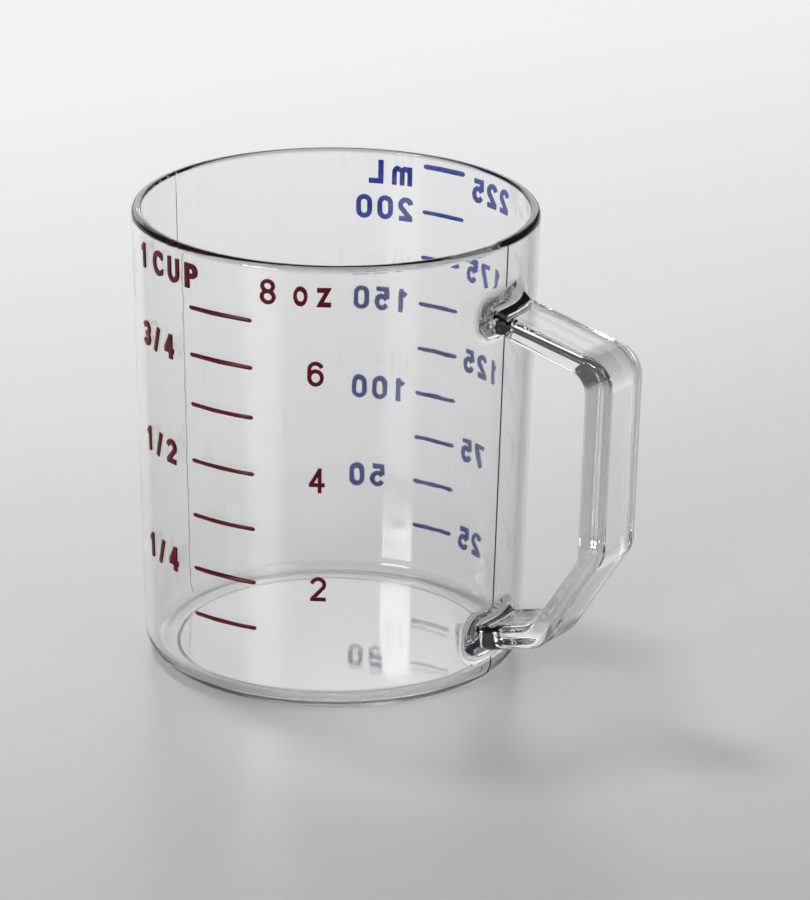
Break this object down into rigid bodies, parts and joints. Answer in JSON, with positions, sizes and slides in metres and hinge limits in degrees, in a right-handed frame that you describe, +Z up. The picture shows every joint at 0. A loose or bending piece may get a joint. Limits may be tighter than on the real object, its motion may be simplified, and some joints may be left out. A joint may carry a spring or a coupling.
{
  "type": "measuring cup",
  "caption": "Clear straight-sided measuring cup with an angular bar handle, raised red cup and ounce marks on one side and raised blue millilitre marks on the other.",
  "frame": {"origin": "on the cup's axis, in the plane of its underside", "axes": "+Z up along the cup's axis, +X out of the cup through the handle"},
  "size_m": [0.092, 0.069, 0.0787],
  "materials": {
    "clear_plastic": "clear, polished",
    "red_ink": "glossy ink on raised marks",
    "blue_ink": "glossy ink on raised marks"
  },
  "bodies": {
    "root": {"cup_body": "clear_plastic", "handle": "clear_plastic", "cup_bar_1_8": "red_ink", "cup_bar_2_8": "red_ink", "cup_bar_3_8": "red_ink", "cup_bar_4_8": "red_ink", "cup_bar_5_8": "red_ink", "cup_bar_6_8": "red_ink", "cup_bar_7_8": "red_ink", "cup_figure_1_4_1": "red_ink", "cup_figure_1_4_2": "red_ink", "cup_figure_1_4_3": "red_ink", "cup_figure_1_2_1": "red_ink", "cup_figure_1_2_2": "red_ink", "cup_figure_1_2_3": "red_ink", "cup_figure_3_4_1": "red_ink", "cup_figure_3_4_2": "red_ink", "cup_figure_3_4_3": "red_ink", "cup_figure_1": "red_ink", "ounce_figure_2": "red_ink", "ounce_figure_4": "red_ink", "ounce_figure_6": "red_ink", "ounce_figure_8": "red_ink", "ml_bar_25": "blue_ink", "ml_bar_50": "blue_ink", "ml_bar_75": "blue_ink", "ml_bar_100": "blue_ink", "ml_bar_125": "blue_ink", "ml_bar_150": "blue_ink", "ml_bar_175": "blue_ink", "ml_bar_200": "blue_ink", "ml_bar_225": "blue_ink", "ml_figure_25_1": "blue_ink", "ml_figure_25_2": "blue_ink", "ml_figure_50_1": "blue_ink", "ml_figure_50_2": "blue_ink", "ml_figure_75_1": "blue_ink", "ml_figure_75_2": "blue_ink", "ml_figure_100_1": "blue_ink", "ml_figure_100_2": "blue_ink", "ml_figure_100_3": "blue_ink", "ml_figure_125_1": "blue_ink", "ml_figure_125_2": "blue_ink", "ml_figure_125_3": "blue_ink", "ml_figure_150_1": "blue_ink", "ml_figure_150_2": "blue_ink", "ml_figure_150_3": "blue_ink", "ml_figure_175_1": "blue_ink", "ml_figure_175_2": "blue_ink", "ml_figure_175_3": "blue_ink", "ml_figure_200_1": "blue_ink", "ml_figure_200_2": "blue_ink", "ml_figure_200_3": "blue_ink", "ml_figure_225_1": "blue_ink", "ml_figure_225_2": "blue_ink", "ml_figure_225_3": "blue_ink"}
  },
  "joints": []
}
